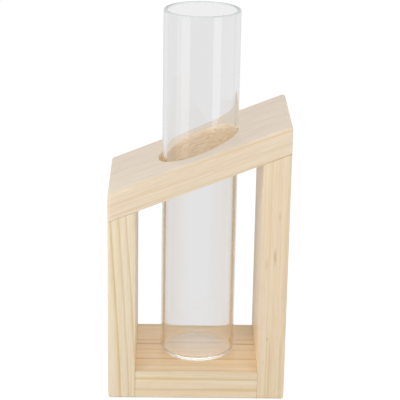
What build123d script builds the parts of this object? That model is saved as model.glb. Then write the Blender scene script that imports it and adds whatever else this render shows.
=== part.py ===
from build123d import *
from math import cos, radians, sin, tan
import os

# Test tube vase: a clear glass tube that stands loose in a pine frame with a slanted top.
# Millimetres, +Z up. The origin is the middle of the footprint, on what the frame stands on.
# The front faces -Y. The low side is at -X, called left, and the high side at +X, called right.

# Frame as a whole
frame_width = 94.0
frame_depth = 64.0
low_side_height = 115.0
top_slope = 22.0  # degrees

# Boards
upright_thickness = 14.5
base_thickness = 15.5
top_thickness = 14.0
outer_arris = 1.5  # sanded radius of the outer edges
edge_break = 0.4  # light chamfer on the edges round the window and the tube's hole

# Glass tube
tube_diameter = 40.0
tube_length = 190.0
tube_wall = 2.0
tube_floor = 2.2
foot_radius = 3.5  # outside, from the wall to the flat foot
floor_bevel = 1.2  # inside, where the wall thickens into the floor
tube_clearance = 1.0  # between the tube and its hole, all round, when it stands in the middle
tube_shift = 0.7  # how far the loose tube stands from the middle, toward the high side

# Blind dowels of the glued joints, two to each
dowel_diameter = 6.0
dowel_end_reach = 12.0  # into the board that is drilled in its end grain
dowel_face_reach_share = 0.55  # of a board's thickness, into the board that is drilled in its face
dowel_spacing_share = 0.5  # of the frame's depth
glue_gap = 0.05  # round a dowel
glue_room = 0.5  # beyond each end of a dowel

# Worked out from the sizes above
slope = radians(top_slope)
outer_x = frame_width / 2
inner_x = outer_x - upright_thickness
half_depth = frame_depth / 2
tube_radius = tube_diameter / 2
bore_radius = tube_radius - tube_wall
hole_radius = tube_radius + tube_clearance
dowel_radius = dowel_diameter / 2
dowel_hole_radius = dowel_radius + glue_gap
dowel_face_reach = dowel_face_reach_share * min(upright_thickness, top_thickness)
dowel_length = dowel_end_reach + dowel_face_reach
dowel_spacing = dowel_spacing_share * frame_depth
dowel_x = (outer_x + inner_x) / 2
end_hole_depth = dowel_end_reach + glue_room
face_hole_depth = dowel_face_reach + glue_room
drill_start = dowel_hole_radius * tan(slope)  # a slanted face rises by this much across a hole

along_slope = Axis((0, 0, 0), (cos(slope), 0, sin(slope)))
across_slope = Axis((0, 0, 0), (-sin(slope), 0, cos(slope)))
sides = {"left": -1, "right": 1}


def top_z(x):
    """Height of the slanted top's upper face."""
    return low_side_height + (x + outer_x) * tan(slope)


def underside_z(x):
    """Height of the slanted top's lower face, which rests on the cut ends of the uprights."""
    return top_z(x) - top_thickness / cos(slope)


def base_joint(side, facing):
    """Plane where a base dowel crosses a joint, facing toward +X or -X."""
    return Plane(origin=(side * inner_x, 0, base_thickness / 2), x_dir=(0, 1, 0), z_dir=(facing, 0, 0))


def top_joint(side, facing, lift):
    """Level plane where a top dowel crosses a joint, facing up or down, raised by lift."""
    origin = (side * dowel_x, 0, underside_z(side * dowel_x) + lift)
    return Plane(origin=origin, x_dir=(0, 1, 0), z_dir=(0, 0, facing))


def save(piece, name):
    """Label a finished piece and write it to a file of its own."""
    piece.label = name
    export_step(piece, f"parts/{name}.step")


os.makedirs("parts", exist_ok=True)

# Uprights
# Straight boards on end. The upper end is cut to the slope of the top that lies on it.
for name, side in sides.items():
    with BuildPart() as upright:
        with BuildSketch(Plane.XZ):
            with BuildLine():
                Polyline(
                    (side * outer_x, 0),
                    (side * inner_x, 0),
                    (side * inner_x, underside_z(side * inner_x)),
                    (side * outer_x, underside_z(side * outer_x)),
                    close=True,
                )
            make_face()
        extrude(amount=half_depth, both=True)

        outward = Axis((0, 0, 0), (side, 0, 0))
        foot_edges = upright.edges().group_by(Axis.Z)[0]
        outer_edges = upright.edges().filter_by(Axis.Z).group_by(outward)[-1]
        outer_edges += foot_edges.filter_by(Axis.X)
        outer_edges += foot_edges.filter_by(Axis.Y).sort_by(outward)[-1:]
        fillet(outer_edges, radius=outer_arris)
        window_edges = upright.edges().filter_by(Axis.Z).group_by(outward)[0]
        chamfer(window_edges, length=edge_break)

        with Locations(base_joint(side, -side)):
            with GridLocations(dowel_spacing, dowel_spacing, 2, 1):
                Hole(dowel_hole_radius, depth=face_hole_depth)
        with Locations(top_joint(side, 1, drill_start)):
            with GridLocations(dowel_spacing, dowel_spacing, 2, 1):
                Hole(dowel_hole_radius, depth=drill_start + end_hole_depth)
    save(upright.part, f"{name}_upright")

# Base board
# It lies between the uprights, flush with them below, in front and behind, and carries the tube.
with BuildPart() as base_board:
    with BuildSketch(Plane.XY):
        Rectangle(2 * inner_x, frame_depth)
    extrude(amount=base_thickness)
    fillet(base_board.edges().filter_by(Axis.X).group_by(Axis.Z)[0], radius=outer_arris)
    chamfer(base_board.edges().filter_by(Axis.X).group_by(Axis.Z)[-1], length=edge_break)
    for side in sides.values():
        with Locations(base_joint(side, side)):
            with GridLocations(dowel_spacing, dowel_spacing, 2, 1):
                Hole(dowel_hole_radius, depth=end_hole_depth)
save(base_board.part, "base_board")

# Slanted top
# Its ends are cut upright, flush with the uprights. The tube's hole is drilled straight down
# through the slope, so that its mouth is an oval with one end higher than the other.
with BuildPart() as slanted_top:
    with BuildSketch(Plane.XZ):
        with BuildLine():
            Polyline(
                (-outer_x, underside_z(-outer_x)),
                (outer_x, underside_z(outer_x)),
                (outer_x, top_z(outer_x)),
                (-outer_x, top_z(-outer_x)),
                close=True,
            )
        make_face()
    extrude(amount=half_depth, both=True)

    end_corners = slanted_top.edges().filter_by(Axis.Z)
    upper_rim = slanted_top.faces().sort_by(across_slope)[-1].edges()
    fillet(end_corners + upper_rim, radius=outer_arris)
    lower_rim = slanted_top.faces().sort_by(across_slope)[0].edges()
    chamfer(lower_rim.filter_by(along_slope), length=edge_break)

    with Locations((0, 0, top_z(0))):
        Hole(hole_radius)
    chamfer(slanted_top.edges().filter_by(GeomType.ELLIPSE), length=edge_break)

    for side in sides.values():
        with Locations(top_joint(side, -1, -drill_start)):
            with GridLocations(dowel_spacing, dowel_spacing, 2, 1):
                Hole(dowel_hole_radius, depth=drill_start + face_hole_depth)
save(slanted_top.part, "slanted_top")

# Dowels
# Each stands in two blind holes. Those of the base lie level, those of the top stand upright.
for name, side in sides.items():
    with BuildPart() as base_dowels:
        with BuildSketch(base_joint(side, -side).offset(-dowel_face_reach)):
            with GridLocations(dowel_spacing, dowel_spacing, 2, 1):
                Circle(dowel_radius)
        extrude(amount=dowel_length)
    save(base_dowels.part, f"{name}_base_dowels")

    with BuildPart() as top_dowels:
        with BuildSketch(top_joint(side, 1, -dowel_end_reach)):
            with GridLocations(dowel_spacing, dowel_spacing, 2, 1):
                Circle(dowel_radius)
        extrude(amount=dowel_length)
    save(top_dowels.part, f"{name}_top_dowels")

# Glass tube
# A straight wall with a fire-polished rim, turned in at the foot to a flat floor.
rim_z = tube_length - tube_wall / 2
with BuildPart() as glass_tube:
    tube_plane = Plane(origin=(tube_shift, 0, base_thickness), x_dir=(1, 0, 0), z_dir=(0, -1, 0))
    with BuildSketch(tube_plane):
        with BuildLine():
            Line((0, 0), (tube_radius - foot_radius, 0))
            TangentArc((tube_radius - foot_radius, 0), (tube_radius, foot_radius), tangent=(1, 0))
            Line((tube_radius, foot_radius), (tube_radius, rim_z))
            ThreePointArc((tube_radius, rim_z), (tube_radius - tube_wall / 2, tube_length), (bore_radius, rim_z))
            Line((bore_radius, rim_z), (bore_radius, tube_floor + floor_bevel))
            Line((bore_radius, tube_floor + floor_bevel), (bore_radius - floor_bevel, tube_floor))
            Line((bore_radius - floor_bevel, tube_floor), (0, tube_floor))
            Line((0, tube_floor), (0, 0))
        make_face()
    revolve(axis=Axis((tube_shift, 0, 0), (0, 0, 1)))
save(glass_tube.part, "glass_tube")
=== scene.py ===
import math

import bmesh
import bpy
from mathutils import Matrix, Vector


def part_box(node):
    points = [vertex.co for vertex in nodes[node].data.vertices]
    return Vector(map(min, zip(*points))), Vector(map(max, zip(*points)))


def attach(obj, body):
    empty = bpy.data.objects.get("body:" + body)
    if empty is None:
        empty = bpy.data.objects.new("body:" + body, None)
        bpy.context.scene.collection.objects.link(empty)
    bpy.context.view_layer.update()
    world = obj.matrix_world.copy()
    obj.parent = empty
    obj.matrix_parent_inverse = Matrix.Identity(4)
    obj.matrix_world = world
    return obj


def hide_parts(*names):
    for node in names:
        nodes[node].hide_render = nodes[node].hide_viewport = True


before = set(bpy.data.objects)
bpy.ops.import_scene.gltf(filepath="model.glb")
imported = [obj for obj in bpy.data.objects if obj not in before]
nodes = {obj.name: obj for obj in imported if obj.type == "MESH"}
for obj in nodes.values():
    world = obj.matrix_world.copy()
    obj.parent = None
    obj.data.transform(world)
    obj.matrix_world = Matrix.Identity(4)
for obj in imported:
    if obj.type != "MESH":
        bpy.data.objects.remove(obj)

# Test tube vase: a clear glass tube that stands loose in a pine frame with a slanted top.
# Metres, +Z up. The front faces -Y, the low side of the top is at -X and the high side at +X.

MM = 0.001
UP = Vector((0, 0, 1))
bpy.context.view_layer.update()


def reach(node, direction):
    """How far a CAD node reaches in a direction, measured from the origin."""
    return max(v.co.dot(direction) for v in nodes[node].data.vertices)


# Sizes read from the frame
left_low, left_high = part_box("left_upright")
right_low, right_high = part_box("right_upright")
base_low, base_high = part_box("base_board")
top_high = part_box("slanted_top")[1]
tube_low, tube_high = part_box("glass_tube")

slope = math.atan2(right_high.z - left_high.z, right_high.x - left_high.x)
along_slope = Vector((math.cos(slope), 0, math.sin(slope)))
across_slope = Vector((-math.sin(slope), 0, math.cos(slope)))
upper_level = reach("slanted_top", across_slope)
lower_level = -reach("slanted_top", -across_slope)
half_width = top_high.x
half_depth = top_high.y
tube_axis = (tube_low + tube_high) / 2
tube_radius = (tube_high.x - tube_low.x) / 2

# Sizes of the finish
outer_arris = 1.5 * MM
window_arris = 0.45 * MM
joint_arris = 0.12 * MM
mouth_arris = 0.5 * MM  # round both ends of the tube's hole
hole_clearance = 1 * MM
tube_wall = 2 * MM
tube_floor = 2.2 * MM
foot_radius = 3.5 * MM  # outside, from the wall to the foot
floor_radius = 1.2 * MM  # inside, from the wall to the floor
punt = 0.45 * MM  # the hollow under the foot, at its middle
flat_run = 0.1 * MM  # beside a rounded edge, which keeps the shading of a flat wall flat
dowel_spare = 0.05 * MM  # round a dowel
dowel_end_room = 0.5 * MM  # beyond each end of a dowel

# How finely round shapes are drawn
arris_steps = 5
corner_steps = 5
dowel_hole_turns = 32
tube_turns = 160
tube_edge_steps = 16
floor_edge_steps = 12
punt_steps = 8
sharp_angle = math.radians(40)


def underside(x):
    """Height of the slanted top's lower face."""
    return (lower_level + x * math.sin(slope)) / math.cos(slope)


# Nodes

def srgb(red, green, blue):
    """A colour written as 8-bit screen values, as the linear colour that shaders take."""
    shares = (c / 255 for c in (red, green, blue))
    return (*(s / 12.92 if s <= 0.04045 else ((s + 0.055) / 1.055) ** 2.4 for s in shares), 1)


class Nodes:
    """Short forms for building the nodes of one material or world."""

    def __init__(self, owner):
        owner.use_nodes = True
        self.tree = owner.node_tree
        self.tree.nodes.clear()

    def add(self, kind, inputs=None, **settings):
        node = self.tree.nodes.new("ShaderNode" + kind)
        for name, value in settings.items():
            setattr(node, name, value)
        for socket, value in (inputs or {}).items():
            self.feed(node.inputs[socket], value)
        return node

    def feed(self, socket, value):
        if isinstance(value, bpy.types.NodeSocket):
            self.tree.links.new(value, socket)
        else:
            socket.default_value = value

    def math(self, operation, *values):
        return self.add("Math", dict(enumerate(values)), operation=operation).outputs[0]

    def vector(self, operation, first, second):
        node = self.add("VectorMath", {0: first, 1: second}, operation=operation)
        scalar = operation in ("DOT_PRODUCT", "DISTANCE")
        return node.outputs["Value" if scalar else "Vector"]

    def scaled(self, vector, factor):
        inputs = {0: vector, "Scale": factor}
        return self.add("VectorMath", inputs, operation="SCALE").outputs["Vector"]

    def ramp(self, value, low, high, to_low=0.0, to_high=1.0, smooth=True):
        """From to_low at low to to_high at high. Low may be the greater of the two."""
        kind = "SMOOTHSTEP" if smooth else "LINEAR"
        inputs = {
            "Value": value, "From Min": low, "From Max": high, "To Min": to_low, "To Max": to_high,
        }
        return self.add("MapRange", inputs, interpolation_type=kind).outputs["Result"]

    def mix(self, share, first, second, blend="MIX"):
        """A Mix node has sockets for every data type, and those for colours go by number."""
        node = self.add("Mix", data_type="RGBA", blend_type=blend)
        self.feed(node.inputs["Factor"], share)
        self.feed(node.inputs[6], first)
        self.feed(node.inputs[7], second)
        return node.outputs[2]

    def mix_shaders(self, share, first, second):
        return self.add("MixShader", {0: share, 1: first.outputs[0], 2: second.outputs[0]})

    def noise(self, vector, detail=2.0):
        return self.add("TexNoise", {"Vector": vector, "Scale": 1.0, "Detail": detail}).outputs

    def surface(self, shader):
        self.add("OutputMaterial", {"Surface": shader.outputs[0]})


# Pine

late_wood = srgb(207, 176, 121)
dark_fleck = srgb(186, 140, 92)
pink_tint = (1.0, 0.945, 0.97, 1)
gold_tint = (1.0, 0.93, 0.8, 1)
end_tint = (0.96, 0.92, 0.86, 1)
# Painted light: the wall of the hole made lighter, and lighter still near the top's upper face
bored_painted_light_tint = (1.27, 1.25, 1.18, 1)
bored_fleck = (0.8, 0.74, 0.66, 1)
bored_edge_painted_light_tint = (1.1, 1.14, 1.2, 1)

# A ring's profile: shares of its fade and strength, and places in mm round its late line
slow_fade, slow_strength = 0.45, 0.3
line_start, line_end, line_over = 0.18, 0.12, 0.3
line_end_strength = 0.9
ring_margin = 1  # mm of plain wood at both ends of a colour ramp
ramp_rings = 6  # as many as the stops of one colour ramp allow

# Patterns in the wood: how wide across the grain and how long along it in mm, and an offset in mm
# that keeps them apart. The ramps of each one's noise, which lies round 0.5, set how much it takes.
sway_pattern = (14.0, 45.0, 0.0)
sway_mm = 0.7
streak_pattern = (1.3, 90.0, 31.0)
streak_strength = 0.2
fleck_pattern = (0.5, 5.0, 57.0)
fleck_strength = 0.25
blush_pattern = (8.0, 110.0, 11.0)
glow_pattern = (4.0, 80.0, 83.0)
torn_pattern = (1.1, 4.5, 71.0)
torn_strength = 0.7
grain_length = 16.0
board_offset = 197.0  # between the patterns of one seed and the next

# Where tints fade in: by how squarely a face looks their way, or by a distance in mm
# painted light: how squarely a face looks the given way before it is painted lighter
painted_light_facing = (0.4, 0.95)
end_facing = (0.5, 0.92)
bored_reach = (0.45, 0.1)  # outside the wall of the hole
painted_light_edge_depth = (2.6, 0.6)  # below the top's upper face, over which the painted light on the hole's wall fades

late_relief, grain_relief = 0.6, 0.5
relief_depth = 0.05 * MM
relief_strength = 0.3
pine_roughness = (0.27, 0.4)


def ring_values(g, radius, rings):
    """How dark the rings are at a radius, from 0 to 1.

    Each darkens outwards, slowly and then fast, to its late line, and ends abruptly. A ring is its
    radius in mm, how dark its late line is, and how wide the darkening is in mm.
    """
    if len(rings) > ramp_rings:
        rest = ring_values(g, radius, rings[ramp_rings:])
        return g.math("MAXIMUM", ring_values(g, radius, rings[:ramp_rings]), rest)
    first = rings[0][0] - rings[0][2] - ring_margin
    last = rings[-1][0] + ring_margin
    stops = [(first, 0.0)]
    for ring, strength, fade in rings:
        stops += [
            (ring - fade, 0.0),
            (ring - slow_fade * fade, slow_strength * strength),
            (ring - line_start, strength),
            (ring + line_end, line_end_strength * strength),
            (ring + line_over, 0.0),
        ]
    node = g.add("ValToRGB", {0: g.ramp(radius, first, last, smooth=False)})
    elements = node.color_ramp.elements
    while len(elements) > 1:
        elements.remove(elements[-1])
    for i, (place, value) in enumerate(stops):
        share = (place - first) / (last - first)
        element = elements.new(share) if i else elements[0]
        element.position = share
        element.color = (value, value, value, 1)
    return node.outputs["Color"]


def pine(name, pale, along, pith, layers, lean=(0.0, 0.0), seed=0.0, pink=0.3, gold=0.3,
         grain=(0.35, 0.13), painted_light=None, shade_patches=(), stains=(), bored=False):
    """Planed pine: rings round the pith of a log, drawn out along the grain, in millimetres.

    Pale is the early wood's colour, along the direction of the grain and pith a point of the log's
    axis. Layers are lists of rings, each with the two places along the grain between which they
    fade in, or None. Lean is how the rings drift along the grain, by its first and second power.
    Pink and gold are the strengths of two soft tints. Grain is the width of the fine lines and how
    dark they are. Painted light lifts the face turned a given direction by a given tint. Patches
    are wide soft darkenings of painted shade and stains small dark marks, each with its centre,
    half its size, and its tint or strength. Bored wood has the wall of the tube's hole through it,
    painted lighter, and lighter still near the upper face, as painted light.
    """
    material = bpy.data.materials.new(name)
    g = Nodes(material)
    place = g.add("TexCoord").outputs
    along = Vector(along).normalized()
    side = Vector((0, 1, 0))
    other = along.cross(side)
    grain_width, grain_strength = grain
    millimetres = g.scaled(place["Object"], 1 / MM)
    from_pith = g.vector("SUBTRACT", millimetres, Vector(pith))
    a = g.vector("DOT_PRODUCT", from_pith, side)
    b = g.vector("DOT_PRODUCT", from_pith, other)
    c = g.vector("DOT_PRODUCT", from_pith, along)

    def pattern(across_mm, along_mm, offset=0.0, detail=1.0):
        shifted = g.math("ADD", c, seed * board_offset + offset)
        divisions = ((a, across_mm), (b, across_mm), (shifted, along_mm))
        parts = (g.math("DIVIDE", length, size) for length, size in divisions)
        stretched = g.add("CombineXYZ", dict(enumerate(parts))).outputs[0]
        return g.noise(stretched, detail)["Fac"]

    def nearness(centre, half_size):
        away = g.vector("SUBTRACT", millimetres, Vector(centre))
        shares = g.vector("DIVIDE", away, Vector(half_size))
        return g.ramp(g.vector("DISTANCE", shares, (0.0, 0.0, 0.0)), 1.0, 0.2)

    sway = g.math("MULTIPLY", g.math("SUBTRACT", pattern(*sway_pattern), 0.5), sway_mm)
    drift = g.math("MULTIPLY", c, g.math("ADD", g.math("MULTIPLY", c, lean[1]), lean[0]))
    from_axis = g.math("SQRT", g.math("ADD", g.math("MULTIPLY", a, a), g.math("MULTIPLY", b, b)))
    radius = g.math("ADD", from_axis, g.math("ADD", drift, sway))

    late = 0.0
    for rings, fade_in in layers:
        values = ring_values(g, radius, rings)
        if fade_in:
            values = g.math("MULTIPLY", values, g.ramp(c, *fade_in))
        late = g.math("MAXIMUM", late, values)

    fine = pattern(grain_width, grain_length, detail=2.0)
    streak = pattern(*streak_pattern, detail=2.0)
    fleck = g.ramp(pattern(*fleck_pattern), 0.68, 0.78)
    blush = g.ramp(pattern(*blush_pattern), 0.35, 0.65)
    glow = g.ramp(pattern(*glow_pattern), 0.4, 0.7)
    late = g.math("MULTIPLY", late, g.ramp(streak, 0.25, 0.7, 0.75, 1.1, smooth=False))

    colour = g.mix(g.math("MULTIPLY", blush, pink), pale, pink_tint, "MULTIPLY")
    colour = g.mix(g.math("MULTIPLY", glow, gold), colour, gold_tint, "MULTIPLY")
    # Painted light: the face turned the given way is lifted by its tint, as if more light fell on
    # it
    if painted_light:
        toward = g.vector("DOT_PRODUCT", place["Normal"], Vector(painted_light[0]))
        colour = g.mix(g.ramp(toward, *painted_light_facing), colour, painted_light[1], "MULTIPLY")
    # Painted shade: wide soft darkenings where less light falls
    for centre, half_size, tint in shade_patches:
        colour = g.mix(nearness(centre, half_size), colour, tint, "MULTIPLY")
    colour = g.mix(late, colour, late_wood)
    colour = g.mix(g.ramp(streak, 0.4, 0.7, 0.0, streak_strength), colour, late_wood)
    colour = g.mix(g.ramp(fine, 0.35, 0.7, 0.0, grain_strength), colour, dark_fleck)
    colour = g.mix(g.math("MULTIPLY", fleck, fleck_strength), colour, dark_fleck)
    for centre, half_size, strength in stains:
        share = g.math("MULTIPLY", nearness(centre, half_size), strength)
        colour = g.mix(share, colour, dark_fleck)

    facing = g.math("ABSOLUTE", g.vector("DOT_PRODUCT", place["Normal"], along))
    colour = g.mix(g.ramp(facing, *end_facing), colour, end_tint, "MULTIPLY")
    if bored:
        level = g.vector("MULTIPLY", millimetres, (1.0, 1.0, 0.0))
        from_hole = g.vector("DISTANCE", level, (0.0, 0.0, 0.0))
        edge = (tube_radius + hole_clearance) / MM
        on_wall = g.ramp(from_hole, *(edge + reach_mm for reach_mm in bored_reach))
        # painted light on the wall of the hole
        colour = g.mix(on_wall, colour, bored_painted_light_tint, "MULTIPLY")
        torn = g.ramp(pattern(*torn_pattern, detail=3.0), 0.35, 0.75)
        torn_share = g.math("MULTIPLY", on_wall, g.math("MULTIPLY", torn, torn_strength))
        colour = g.mix(torn_share, colour, bored_fleck, "MULTIPLY")
        # painted light, stronger near the top's upper face
        level_of_place = g.vector("DOT_PRODUCT", millimetres, across_slope)
        below_face = g.math("SUBTRACT", upper_level / MM, level_of_place)
        lit_edge_share = g.math("MULTIPLY", on_wall, g.ramp(below_face, *painted_light_edge_depth))
        colour = g.mix(lit_edge_share, colour, bored_edge_painted_light_tint, "MULTIPLY")

    lines = g.math("MULTIPLY", late, late_relief)
    height = g.math("ADD", lines, g.math("MULTIPLY", fine, grain_relief))
    bump = g.add("Bump", {"Height": height, "Strength": relief_strength, "Distance": relief_depth})
    g.surface(g.add("BsdfPrincipled", {
        "Base Color": colour,
        "Roughness": g.ramp(fine, 0.2, 0.8, *pine_roughness),
        "Normal": bump.outputs[0],
    }))
    return material


# Beech and glass

beech_ground = srgb(212, 180, 140)
beech_fleck = srgb(190, 152, 110)
beech_flecks_per_mm = 0.9
beech_roughness = 0.6

# Heights in the glass are above the foot, and those of the rim's painted light are below the rim.
# Those in pairs are where a change starts and where it is complete.
glass_index = 1.47
foot_bounces, wall_bounces = 40.0, 7.0  # after which a ray meets painted light: a lit diffuse layer standing in for light leaving the wall
bounces_change = (15 * MM, 40 * MM)
# Painted light stands in for light that runs along the glass wall and comes out at its rim and
# foot.
rim_painted_light_zone, rim_painted_light = (1.2 * MM, 0.5 * MM), 0.6
foot_painted_light_zone, foot_painted_light = (1.3 * MM, 0.8 * MM), 0.15
painted_colour_height = 40 * MM  # where the painted light's colour has become the wall's
foot_painted_colour = (1.0, 0.98, 0.95, 1)
wall_painted_colour = (0.7, 0.745, 0.73, 1)


def beech():
    """Turned dowel rod: short darker flecks over an even ground."""
    material = bpy.data.materials.new("beech")
    g = Nodes(material)
    place = g.add("TexCoord").outputs["Object"]
    flecks = g.noise(g.scaled(place, beech_flecks_per_mm / MM))["Fac"]
    colour = g.mix(g.ramp(flecks, 0.3, 0.7), beech_ground, beech_fleck)
    g.surface(g.add("BsdfPrincipled", {"Base Color": colour, "Roughness": beech_roughness}))
    return material


def glass():
    """Clear glass, with painted light at its rim and foot and where a ray has bounced too often: a
    lit diffuse layer that stands in for light that runs along the wall and comes out.

    Lamps and the wood's own bounced light pass through it with little loss.
    """
    material = bpy.data.materials.new("clear_glass")
    g = Nodes(material)
    body = g.add("BsdfPrincipled", {
        "Base Color": (0.999, 0.998, 1.0, 1),
        "Roughness": 0.0,
        "IOR": glass_index,
        "Transmission Weight": 1.0,
    })
    clear = g.add("BsdfTransparent", {"Color": (0.97, 0.97, 0.97, 1)})
    path = g.add("LightPath").outputs
    light_ray = g.math("MAXIMUM", path["Is Shadow Ray"], path["Is Diffuse Ray"])
    height = g.add("SeparateXYZ", {0: g.add("TexCoord").outputs["Object"]}).outputs[2]
    foot, rim = tube_low.z, tube_high.z
    patience = g.ramp(height, *(foot + h for h in bounces_change), foot_bounces, wall_bounces)
    spent = g.math("GREATER_THAN", path["Ray Depth"], patience)
    at_rim = g.ramp(height, *(rim - h for h in rim_painted_light_zone), 0.0, rim_painted_light)
    at_foot = g.ramp(height, *(foot + h for h in foot_painted_light_zone), 0.0, foot_painted_light)
    # painted light: a lit diffuse layer where a ray has bounced too often, at the rim and at the
    # foot
    painted_light_share = g.math("MAXIMUM", spent, g.math("MAXIMUM", at_rim, at_foot))
    pale = g.mix(g.ramp(height, foot, foot + painted_colour_height), foot_painted_colour, wall_painted_colour)
    painted_light_glass = g.add("BsdfDiffuse", {"Color": pale})
    g.surface(g.mix_shaders(light_ray, g.mix_shaders(painted_light_share, body, painted_light_glass), clear))
    return material


# Meshes

def object_of(name, bm):
    """A smooth-shaded object made from a bmesh, whose faces are turned outwards first."""
    bmesh.ops.recalc_face_normals(bm, faces=bm.faces)
    for face in bm.faces:
        face.smooth = True
    mesh = bpy.data.meshes.new(name)
    bm.to_mesh(mesh)
    bm.free()
    obj = bpy.data.objects.new(name, mesh)
    bpy.context.scene.collection.objects.link(obj)
    return obj


def dress(obj, material):
    obj.data.materials.clear()
    obj.data.materials.append(material)


def part(obj, body, node, material):
    """Finishes a piece that stands for a CAD node."""
    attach(obj, body)
    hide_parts(node)
    dress(obj, material)


def drill(obj, dowel_nodes):
    """Cuts the blind holes that a board's dowels stand in, a little wider and longer than they."""
    bm = bmesh.new()
    for node in dowel_nodes:
        low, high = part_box(node)
        size = high - low
        upright = size.z > size.x
        radius = (size.x if upright else size.z) / 2
        hole_radius = radius + dowel_spare
        length = max(size.x, size.z) + 2 * dowel_end_room
        turn = Matrix() if upright else Matrix.Rotation(math.radians(90), 4, "Y")
        for y in (low.y + radius, high.y - radius):
            centre = (low + high) / 2
            centre.y = y
            bmesh.ops.create_cone(
                bm, cap_ends=True, segments=dowel_hole_turns, radius1=hole_radius,
                radius2=hole_radius, depth=length, matrix=Matrix.Translation(centre) @ turn,
            )
    cutter = object_of("dowel_holes", bm)
    modifier = obj.modifiers.new("drill", "BOOLEAN")
    modifier.operation = "DIFFERENCE"
    modifier.object = cutter
    settle(obj)
    bpy.data.objects.remove(cutter)


def settle(obj):
    """Turns an object's modifiers into its mesh."""
    evaluated = obj.evaluated_get(bpy.context.evaluated_depsgraph_get())
    mesh = bpy.data.meshes.new_from_object(evaluated)
    obj.modifiers.clear()
    obj.data = mesh


def shade(obj):
    """Flat faces look flat, their rounded edges round, and a hole's edge stays crisp."""
    obj.data.set_sharp_from_angle(angle=sharp_angle)
    modifier = obj.modifiers.new("flat_faces", "WEIGHTED_NORMAL")
    modifier.keep_sharp = True


def board(name, outline, arris_at, dowel_nodes):
    """A board drawn in XZ and as deep as the frame.

    Each edge is rounded by the radius that arris_at gives for its middle and its direction.
    """
    bm = bmesh.new()
    front = [bm.verts.new((x, -half_depth, z)) for x, z in outline]
    back = [bm.verts.new((x, half_depth, z)) for x, z in outline]
    bm.faces.new(front)
    bm.faces.new(reversed(back))
    for i in range(len(outline)):
        j = (i + 1) % len(outline)
        bm.faces.new((front[j], front[i], back[i], back[j]))
    weights = bm.edges.layers.float.new("bevel_weight_edge")
    for edge in bm.edges:
        first, last = (v.co for v in edge.verts)
        edge[weights] = arris_at((first + last) / 2, last - first) / outer_arris
    obj = object_of(name, bm)
    modifier = obj.modifiers.new("arrises", "BEVEL")
    modifier.limit_method = "WEIGHT"
    modifier.width = outer_arris
    modifier.segments = arris_steps
    settle(obj)
    drill(obj, dowel_nodes)
    shade(obj)
    return obj


def upright(side, inner_x, outer_x, dowel_nodes):
    """A board on end, with its upper end cut to the slope."""
    inner_z, outer_z = underside(inner_x), underside(outer_x)
    outline = [(outer_x, 0), (inner_x, 0), (inner_x, inner_z), (outer_x, outer_z)]
    middle_x = (inner_x + outer_x) / 2
    outward = 1 if outer_x > inner_x else -1

    def arris_at(middle, run):
        outside = (middle.x - middle_x) * outward
        lies_flat = abs(run.z) < abs(run.x) + abs(run.y)
        if lies_flat and middle.z > min(inner_z, outer_z) - outer_arris:
            return joint_arris
        if middle.z < outer_arris:
            return joint_arris if outside < -outer_arris else outer_arris
        return outer_arris if outside > 0 else window_arris

    return board(f"{side}_pine_upright", outline, arris_at, dowel_nodes)


def pine_base(dowel_nodes):
    """The board between the uprights, on which the tube stands."""
    left_x, right_x, upper_z = base_low.x, base_high.x, base_high.z
    outline = [(left_x, 0), (right_x, 0), (right_x, upper_z), (left_x, upper_z)]

    def arris_at(middle, run):
        if abs(run.x) < outer_arris:
            return joint_arris
        return outer_arris if middle.z < upper_z / 2 else window_arris

    return board("pine_base", outline, arris_at, dowel_nodes)


def rounding(centre, radius, level, side, normal):
    """Points round one arris, from a side's outward normal to that of a slanted face.

    Level is how far that face lies from the origin, along its normal.
    """
    centre_z = (level - radius - centre.dot(normal)) / normal.z
    middle = Vector((centre.x, centre.y, centre_z))
    axis, angle = side.rotation_difference(normal).to_axis_angle()
    turns = (Matrix.Rotation(angle * i / arris_steps, 3, axis) for i in range(arris_steps + 1))
    return [middle + turn @ side * radius for turn in turns]


def pine_top(dowel_nodes):
    """The slanted board, as columns of points round its hole, each from the hole's wall outwards.

    Seen from above it is a rectangle with rounded corners, and the hole is round.
    """
    hole_radius = tube_radius + hole_clearance
    long_steps, short_steps = 44, 28
    inset = Vector((half_width - outer_arris, half_depth - outer_arris, 0))
    quarters = ((1, 1), (-1, 1), (-1, -1), (1, -1))
    corners = [Vector((inset.x * x, inset.y * y, 0)) for x, y in quarters]
    stations = []
    for i, corner in enumerate(corners):
        start = math.radians(90 * i)
        for k in range(corner_steps + 1):
            angle = start + math.radians(90) * k / corner_steps
            stations.append((corner, Vector((math.cos(angle), math.sin(angle), 0))))
        following = corners[(i + 1) % len(corners)]
        steps = long_steps if i % 2 == 0 else short_steps
        stations += [(corner.lerp(following, k / steps), stations[-1][1]) for k in range(1, steps)]

    bm = bmesh.new()
    columns = []
    for centre, outward in stations:
        rim = centre + outward * outer_arris
        inward = -rim.normalized()
        mouth = -inward * (hole_radius + mouth_arris)
        lower_edge = centre + outward * (outer_arris - window_arris)
        above, below = (upper_level, across_slope), (-lower_level, -across_slope)
        points = rounding(mouth, mouth_arris, above[0], inward, above[1])
        points += reversed(rounding(centre, outer_arris, above[0], outward, above[1]))
        points += rounding(lower_edge, window_arris, below[0], outward, below[1])
        points += reversed(rounding(mouth, mouth_arris, below[0], inward, below[1]))
        columns.append([bm.verts.new(point) for point in points])
    for i, column in enumerate(columns):
        following = columns[(i + 1) % len(columns)]
        for k in range(len(column)):
            m = (k + 1) % len(column)
            bm.faces.new((column[k], column[m], following[m], following[k]))
    obj = object_of("pine_top", bm)
    drill(obj, dowel_nodes)
    shade(obj)
    return obj


def arc(centre, radius, start, end, steps):
    """Points of a round stretch of a profile, from one angle to another in degrees."""
    angles = (math.radians(start + (end - start) * i / steps) for i in range(steps + 1))
    return [(centre[0] + radius * math.cos(t), centre[1] + radius * math.sin(t)) for t in angles]


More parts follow.
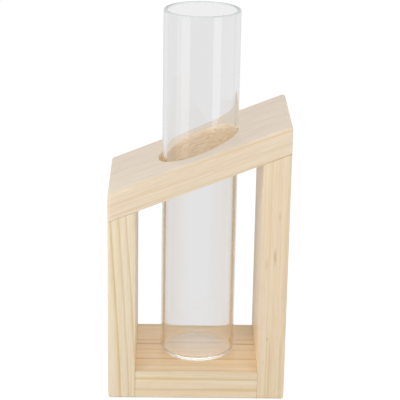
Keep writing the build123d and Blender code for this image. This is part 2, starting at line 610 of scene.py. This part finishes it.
def lathe(name, profile, axis, turns):
    """A profile of (radius, height) points, from the axis out and back to it, turned round it.

    A point on the axis is a single one, and the faces that meet there are triangles.
    """
    bm = bmesh.new()
    angles = [2 * math.pi * i / turns for i in range(turns)]
    rings = []
    for radius, height in profile:
        ring = [
            (axis.x + radius * math.cos(t), axis.y + radius * math.sin(t), height)
            for t in (angles if radius else angles[:1])
        ]
        rings.append([bm.verts.new(point) for point in ring])
    for lower, upper in zip(rings, rings[1:]):
        for i in range(turns):
            j = (i + 1) % turns
            around = ((lower, i), (lower, j), (upper, j), (upper, i))
            bm.faces.new(dict.fromkeys(ring[k % len(ring)] for ring, k in around))
    return object_of(name, bm)


def clear_tube():
    """A straight wall with a fire-polished rim and a flat floor, hollowed a little below."""
    foot, rim = tube_low.z, tube_high.z
    inner = tube_radius - tube_wall
    lip = tube_wall / 2
    ring = tube_radius - foot_radius
    floor_edge = inner - floor_radius
    floor_z = foot + tube_floor
    shares = (k / punt_steps for k in range(punt_steps))
    profile = [(ring * share, foot + punt * (1 - share**2)) for share in shares]
    profile += arc((ring, foot + foot_radius), foot_radius, -90, 0, tube_edge_steps)
    profile += [(tube_radius, foot + foot_radius + flat_run), (tube_radius, rim - lip - flat_run)]
    profile += arc((tube_radius - lip, rim - lip), lip, 0, 180, tube_edge_steps)
    profile += [(inner, rim - lip - flat_run), (inner, floor_z + floor_radius + flat_run)]
    profile += arc((floor_edge, floor_z + floor_radius), floor_radius, 0, -90, floor_edge_steps)
    profile += [(floor_edge - flat_run, floor_z), (0, floor_z)]
    return lathe("clear_tube", profile, tube_axis, tube_turns)


# The vase

left_pine = pine(
    "pine_left_upright", srgb(232, 220, 195), UP, (-160, 40, 0),
    [([
        (135.1, 0.2, 2.0), (139.8, 0.78, 1.9), (143.5, 0.5, 1.6), (146.9, 0.58, 1.8), (151, 0.4, 2),
        (156, 0.4, 2),
    ], None)],
    # painted light: the inner face made lighter
    lean=(0.0235, 0.00022), seed=1, pink=0.4, gold=0.4, painted_light=((1, 0, 0), (1.1, 1.1, 1.1, 1)),
)
right_pine = pine(
    "pine_right_upright", srgb(231, 216, 188), UP, (160, -40, 0),
    [
        ([
            (108, 0.2, 2), (112.4, 0.2, 2), (119.5, 0.15, 2.5), (123.4, 0.3, 1.2), (128, 0.2, 2),
        ], None),
        ([(116.3, 0.5, 1.8), (121.8, 0.62, 1.6)], (42, 28)),
        ([(114.6, 0.4, 1.6)], (30, 42)),
    ],
    # painted light: the inner face made lighter
    seed=2, pink=0.9, gold=0.4, painted_light=((-1, 0, 0), (1.28, 1.26, 1.24, 1)),
    # painted shade: darker towards the back of the inner face
    shade_patches=[((32.5, 34, 66), (6, 34, 90), (0.84, 0.85, 0.87, 1))],
    stains=[
        ((40.0, -32, 81.7), (1.1, 3, 6.5), 0.45),
        ((41.8, -32, 104), (0.9, 2, 4.0), 0.25),
        ((35.7, -32, 77.4), (1.2, 2, 4.5), 0.2),
        ((37.2, -32, 35.2), (1.0, 2, 1.6), 0.3),
    ],
)
base_pine = pine(
    "pine_base_board", srgb(234, 220, 193), (1, 0, 0), (0, 20, 45.5),
    [([
        (31.6, 0.5, 0.5), (33.75, 1.1, 0.9), (38.0, 0.3, 2.2), (41.8, 0.15, 2.2), (46.3, 0.85, 1.9),
        (52.9, 0.4, 2.6), (58.3, 0.5, 2.4), (62.2, 0.6, 1.5), (66.0, 0.52, 2.1),
    ], None)],
    # painted light: the upper face made lighter and warmer
    seed=3, pink=0.5, gold=0.6, painted_light=((0, 0, 1), (1.23, 1.12, 0.97, 1)),
    shade_patches=[
        # painted shade: the front strip of the upper face and its front edge
        ((0, -34, 15.5), (80, 22, 1.5), (0.84, 0.86, 0.9, 1)),
        # painted shade: the back of the upper face beside the right upright
        ((34, 26, 15.5), (22, 24, 6), (0.83, 0.81, 0.78, 1)),
    ],
)
top_pine = pine(
    "pine_slanted_top", srgb(230, 215, 192), along_slope, (0, 8, 178),
    [([
        (42.5, 0.14, 1.0), (44.3, 0.1, 0.7), (46.2, 0.2, 0.9), (48.2, 0.12, 0.8), (50.3, 0.22, 0.9),
        (52.4, 0.14, 0.8), (54.5, 0.22, 1.0), (58.2, 0.36, 1.6), (62.9, 0.33, 1.8),
        (67.3, 0.28, 2.0),
    ], None)],
    lean=(-0.016, 0.0), seed=4, pink=0.6, gold=0.25, grain=(0.8, 0.15),
    # painted light: the upper face made paler and cooler, standing in for its sheen, and the hole's
    # wall made lighter
    painted_light=(across_slope, (1.02, 1.04, 1.09, 1)), bored=True,
)

left_dowels = ("left_base_dowels", "left_top_dowels")
right_dowels = ("right_base_dowels", "right_top_dowels")
left = upright("left", left_high.x, left_low.x, left_dowels)
right = upright("right", right_low.x, right_high.x, right_dowels)
base = pine_base(("left_base_dowels", "right_base_dowels"))
top = pine_top(("left_top_dowels", "right_top_dowels"))
part(left, "frame", "left_upright", left_pine)
part(right, "frame", "right_upright", right_pine)
part(base, "frame", "base_board", base_pine)
part(top, "frame", "slanted_top", top_pine)
part(clear_tube(), "tube", "glass_tube", glass())
dowel_wood = beech()
for name in left_dowels + right_dowels:
    dress(nodes[name], dowel_wood)


# Studio
# A ramp over a count of bounces has one whole count between its limits, with half of the change.

one_wall_boost = 1.11  # up to a ray depth of 2, which is one wall of the glass
reflected_boost = 1.3  # from a glossy depth of 4
floor_radiance = 0.9
floor_shadow = 0.2  # how much of the lamps' light the floor gives back where it is seen
floor_albedo = 0.8
floor_half_size = 4
floor_through_glass, floor_in_gloss = 0.865, 0.72
sky_boost = 1.6  # through glass, up to a transmission depth of 2 or from a glossy depth of 3
sky_in_gloss = 1.1
sky_strength = 0.52  # at least, for every ray


def seen_share(g, through_glass, in_gloss):
    """1 for what the camera sees, other shares through glass and in gloss, 0 for other rays."""
    path = g.add("LightPath").outputs
    one_wall = g.ramp(path["Ray Depth"], 2.5, 3.5, one_wall_boost, 1.0)
    reflected = g.ramp(path["Glossy Depth"], 2.5, 3.5, 1.0, reflected_boost)
    brighter = g.math("MULTIPLY", one_wall, reflected)
    through = g.math("MULTIPLY", path["Is Transmission Ray"], through_glass)
    through = g.math("MULTIPLY", through, brighter)
    mirrored = g.math("SUBTRACT", path["Is Glossy Ray"], path["Is Transmission Ray"])
    glossy = g.math("MULTIPLY", mirrored, in_gloss)
    return g.math("MAXIMUM", path["Is Camera Ray"], g.math("MAXIMUM", through, glossy))


def floor():
    """White with a faint shadow where it is seen, and a plain pale surface to other light."""
    material = bpy.data.materials.new("pale_floor")
    g = Nodes(material)
    seen = seen_share(g, floor_through_glass, floor_in_gloss)
    is_seen = g.math("GREATER_THAN", seen, 0.0)
    matt = g.add("BsdfDiffuse", {"Color": (floor_albedo, floor_albedo, floor_albedo, 1)})
    shadow = g.math("MULTIPLY", g.add("LightPath").outputs["Is Camera Ray"], floor_shadow)
    lit = g.add("BsdfDiffuse", {"Color": shadow})
    radiance = g.math("MULTIPLY", seen, floor_radiance)
    glow = g.add("Emission", {"Color": (1, 1, 1, 1), "Strength": radiance})
    white = g.add("AddShader", {0: lit.outputs[0], 1: glow.outputs[0]})
    g.surface(g.mix_shaders(is_seen, matt, white))
    bm = bmesh.new()
    bmesh.ops.create_grid(bm, x_segments=1, y_segments=1, size=floor_half_size)
    ground = object_of("floor", bm)
    dress(ground, material)


def surroundings():
    """A white sky, brighter in some of the glass, and dimmer for the light that isn't seen."""
    sky = bpy.data.worlds.new("studio")
    bpy.context.scene.world = sky
    g = Nodes(sky)
    path = g.add("LightPath").outputs
    reflected = g.ramp(path["Glossy Depth"], 1.5, 2.5, 1.0, sky_boost)
    straight = g.ramp(path["Transmission Depth"], 2.5, 3.5, sky_boost, 1.0)
    through_glass = g.math("MAXIMUM", reflected, straight)
    strength = g.math("MAXIMUM", seen_share(g, through_glass, sky_in_gloss), sky_strength)
    background = g.add("Background", {"Color": (1, 1, 1, 1), "Strength": strength})
    g.add("OutputWorld", {"Surface": background.outputs[0]})


def softbox(name, azimuth, elevation, distance, width, height, radiance, aim, in_gloss):
    """A flat lamp turned to the point that is aim metres up, as bright all over as its radiance."""
    data = bpy.data.lights.new(name, "AREA")
    data.shape = "RECTANGLE"
    data.size, data.size_y = width, height
    data.energy = radiance * math.pi * width * height
    lamp = bpy.data.objects.new(name, data)
    bpy.context.scene.collection.objects.link(lamp)
    a, e = math.radians(azimuth), math.radians(elevation)
    back = Vector((math.sin(a) * math.cos(e), -math.cos(a) * math.cos(e), math.sin(e)))
    lamp.location = Vector((0, 0, aim)) + back * distance
    lamp.rotation_euler = back.to_track_quat("Z", "Y").to_euler()
    lamp.visible_camera = False
    lamp.visible_transmission = False
    lamp.visible_glossy = in_gloss


# Name, azimuth and elevation in degrees, distance, width, height, radiance, the height that it is
# aimed at, and whether it shows in gloss
softboxes = (
    ("left_strip", -56, 0, 0.3, 0.24, 0.382, 0.8, 0.209, True),
    ("left_core", -49, 0, 0.3, 0.14, 0.382, 1.0, 0.209, True),
    ("right_strip", 44, 0, 0.3, 0.128, 0.376, 2.0, 0.212, True),
    ("right_panel", 80, 0, 0.3, 0.27, 0.4, 0.35, 0.2, True),
    ("key_softbox", -30, 38, 1.0, 0.8, 0.8, 0.22, 0.1, True),
    ("low_fill", -68, 0, 0.3, 0.1, 0.06, 4.2, 0.031, False),
    ("top_softbox", 0, 78, 0.9, 0.7, 0.7, 0.9, 0.1, True),
)

floor()
surroundings()
for lamp in softboxes:
    softbox(*lamp)

# The camera as fitted to edges in the photograph: place in mm, angles in degrees
camera_place = (-14.18, -779.12, 372.40)
camera_yaw, camera_downward, camera_roll = -1.12, 19.153, 0.996
camera_data = bpy.data.cameras.new("camera")
camera_data.lens = 139.02
camera_data.sensor_width = 36
camera = bpy.data.objects.new("camera", camera_data)
yaw = Matrix.Rotation(math.radians(camera_yaw), 4, "Z")
pitch = Matrix.Rotation(math.radians(90 - camera_downward), 4, "X")
roll = Matrix.Rotation(math.radians(camera_roll), 4, "Z")
camera.matrix_world = Matrix.Translation(Vector(camera_place) * MM) @ yaw @ pitch @ roll
bpy.context.scene.collection.objects.link(camera)
bpy.context.scene.camera = camera
bpy.context.scene.view_settings.view_transform = "Standard"

# Light that runs along inside the glass wall takes many bounces to come out.
most_bounces = 64
cycles = bpy.context.scene.cycles
cycles.max_bounces = most_bounces
cycles.glossy_bounces = most_bounces
cycles.transmission_bounces = most_bounces
cycles.transparent_max_bounces = 24
